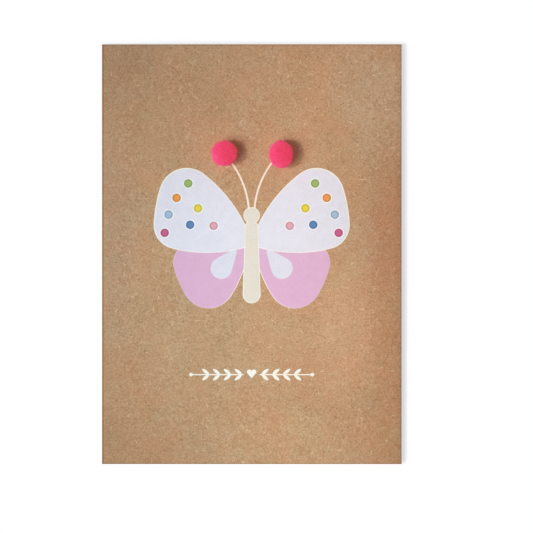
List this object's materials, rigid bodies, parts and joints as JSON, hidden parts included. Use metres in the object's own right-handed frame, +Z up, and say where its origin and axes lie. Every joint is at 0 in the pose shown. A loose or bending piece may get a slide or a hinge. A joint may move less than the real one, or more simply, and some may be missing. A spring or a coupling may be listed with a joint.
{
  "type": "greeting card",
  "caption": "Folded kraft-board greeting card lying on its back, its front printed with a butterfly whose feelers end in pompoms, above a small leaf border.",
  "frame": {"origin": "under the middle of the closed card, on the surface that its back panel lies on", "axes": "+Z up, out of the printed front; +Y towards the top edge of the card; +X from the fold to the open side"},
  "size_m": [0.127, 0.1778, 0.0141],
  "materials": {
    "kraft_board": "uncoated recycled kraft board with pale and dark fibre flecks",
    "pompom_pile": "dense short cut pile, matt",
    "clear_glue": "dried clear glue",
    "white_ink": "thin matt printed ink that takes on the board's grain",
    "lavender_ink": "thin matt printed ink that takes on the board's grain",
    "pink_ink": "thin matt printed ink that takes on the board's grain",
    "pale_ink": "thin matt printed ink that takes on the board's grain",
    "cream_ink": "thin matt printed ink that takes on the board's grain",
    "magenta_ink": "thin matt printed ink that takes on the board's grain",
    "sky_ink": "thin matt printed ink that takes on the board's grain",
    "orange_ink": "thin matt printed ink that takes on the board's grain",
    "green_ink": "thin matt printed ink that takes on the board's grain",
    "blue_ink": "thin matt printed ink that takes on the board's grain",
    "yellow_ink": "thin matt printed ink that takes on the board's grain",
    "rose_ink": "thin matt printed ink that takes on the board's grain"
  },
  "bodies": {
    "root": {"folded_card": "kraft_board", "butterfly_base_print": "white_ink", "butterfly_body_print": "cream_ink", "leaf_border_print": "white_ink", "left_forewing_print": "lavender_ink", "left_hindwing_print": "pink_ink", "left_drop_print": "pale_ink", "left_feeler_print": "cream_ink", "left_glue_dot": "clear_glue", "left_pompom": "pompom_pile", "right_forewing_print": "lavender_ink", "right_hindwing_print": "pink_ink", "right_drop_print": "pale_ink", "right_feeler_print": "cream_ink", "right_glue_dot": "clear_glue", "right_pompom": "pompom_pile", "magenta_dots_print": "magenta_ink", "sky_dots_print": "sky_ink", "orange_dots_print": "orange_ink", "green_dots_print": "green_ink", "blue_dots_print": "blue_ink", "yellow_dots_print": "yellow_ink", "rose_dots_print": "rose_ink"}
  },
  "joints": []
}
